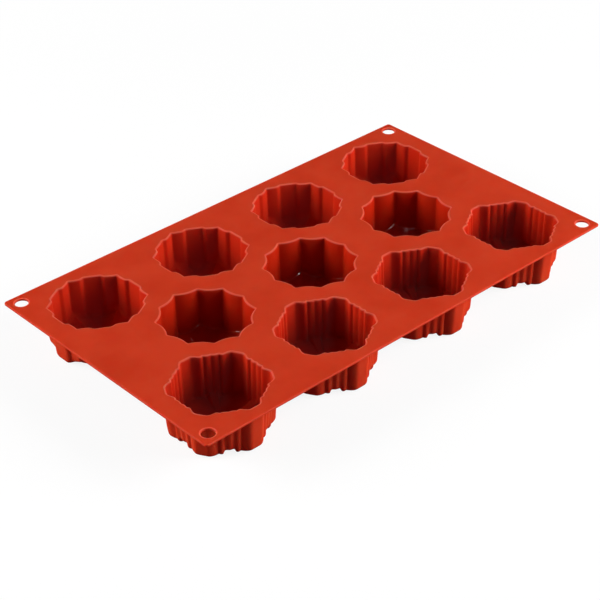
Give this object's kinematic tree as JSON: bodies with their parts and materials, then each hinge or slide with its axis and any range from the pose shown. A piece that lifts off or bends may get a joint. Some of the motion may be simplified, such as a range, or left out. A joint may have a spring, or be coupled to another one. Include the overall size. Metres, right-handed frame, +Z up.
{
  "type": "silicone mousse mould",
  "caption": "Flat rectangular silicone mould with hanging cups in faceted, fluted and lobed hexagon shapes and hang holes at its corners, for setting mousse or baking small cakes.",
  "frame": {"origin": "middle of the box on the plane of the cups' bases", "axes": "+X along the long side, +Y towards the back row of cups, +Z up out of the cavities"},
  "size_m": [0.3, 0.175, 0.0276],
  "materials": {
    "silicone": "satin terracotta red silicone"
  },
  "bodies": {
    "root": {"faceted_cup_1": "silicone", "faceted_cup_2": "silicone", "faceted_cup_3": "silicone", "faceted_cup_4": "silicone", "fluted_cup_1": "silicone", "fluted_cup_2": "silicone", "fluted_cup_3": "silicone", "hexagon_cup_1": "silicone", "hexagon_cup_2": "silicone", "hexagon_cup_3": "silicone", "hexagon_cup_4": "silicone", "sheet": "silicone"}
  },
  "joints": []
}
